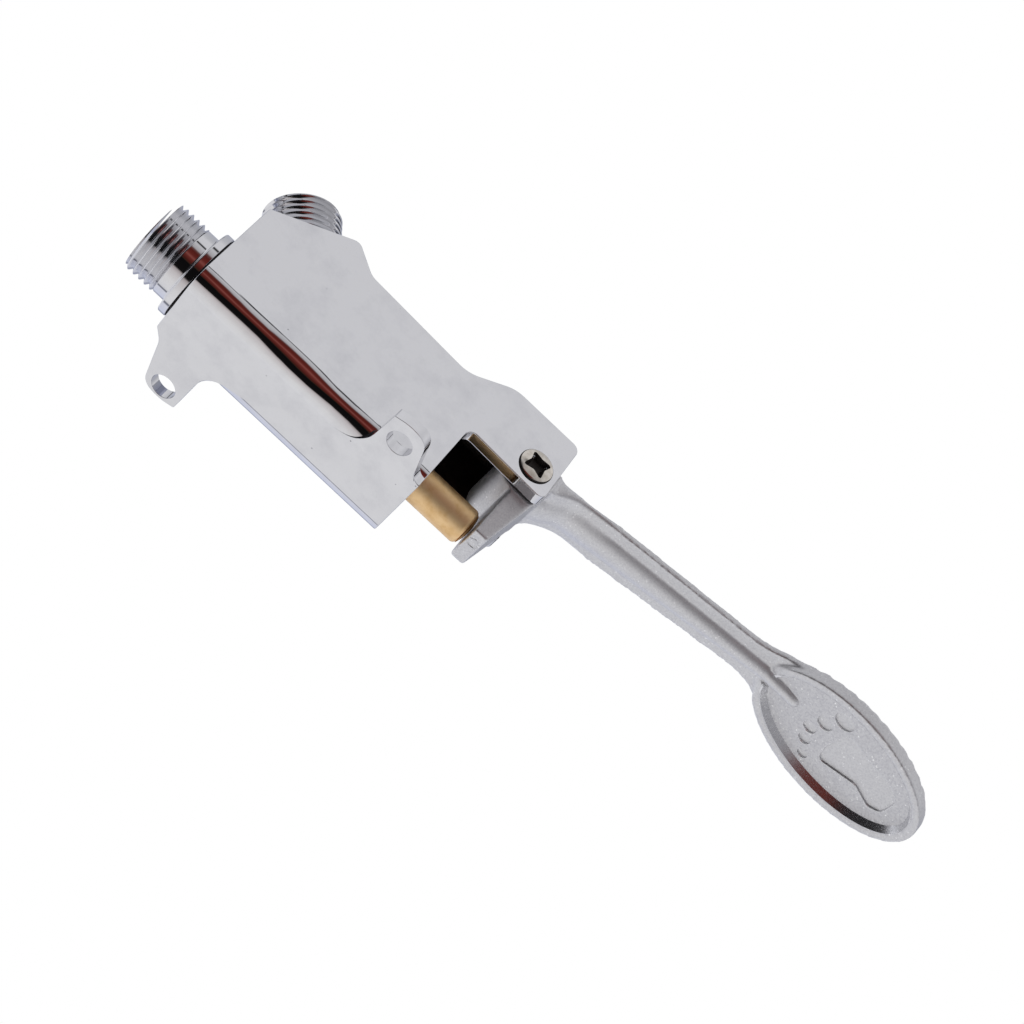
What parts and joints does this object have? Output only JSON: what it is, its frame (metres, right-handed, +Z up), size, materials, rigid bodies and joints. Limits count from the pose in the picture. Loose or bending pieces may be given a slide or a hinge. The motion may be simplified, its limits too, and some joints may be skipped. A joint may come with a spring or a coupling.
{
  "type": "foot pedal tap valve",
  "caption": "Floor-mounted, self-closing water valve: a chromed body with threaded inlet and outlet and screw ears, a sprung brass plunger, and a hinged foot lever with an oval pad.",
  "frame": {"origin": "on the mounting face, midway along the block and under the water axis", "axes": "+X from the inlet to the pedal, +Z up from the floor"},
  "size_m": [0.2475, 0.0558, 0.0581],
  "materials": {
    "chrome": "mirror chrome plate on cast brass",
    "satin_chrome": "satin chrome plate on die-cast zinc",
    "brass": "turned, bare",
    "spring_steel": "drawn, bare",
    "nickel_steel": "polished nickel plate",
    "rubber": "moulded, matte"
  },
  "bodies": {
    "valve": {"valve_body": "chrome", "inlet_nipple": "chrome", "nipple_o_ring": "rubber", "spring_seat": "brass", "return_spring": "spring_steel", "guide_bush": "brass", "bush_o_ring": "rubber", "plunger_o_rings": "rubber", "bush_retaining_ring": "spring_steel", "pivot_screw": "nickel_steel"},
    "plunger": {"plunger": "brass", "seal_washer": "rubber", "washer_cup": "brass", "lock_washer": "spring_steel", "stem_nut": "brass"},
    "pedal": {"pedal_lever": "satin_chrome", "pivot_bush": "brass"}
  },
  "joints": [
    {"name": "pedal_hinge", "type": "hinge", "parent": "valve", "child": "pedal", "pos_m": [0.0555, 0, 0.0318], "axis": [0, 1, 0], "range_deg": [0, 12], "stiffness_Nm_per_rad": 3, "springref_deg": -20.05},
    {"name": "plunger_slide", "type": "slide", "parent": "valve", "child": "plunger", "axis": [-1, 0, 0], "range_m": [0, 0.00439], "deforming": ["return_spring"]}
  ],
  "couplings": [
    {"joint": "plunger_slide", "follows": "pedal_hinge", "m_per_rad": 0.02096}
  ]
}
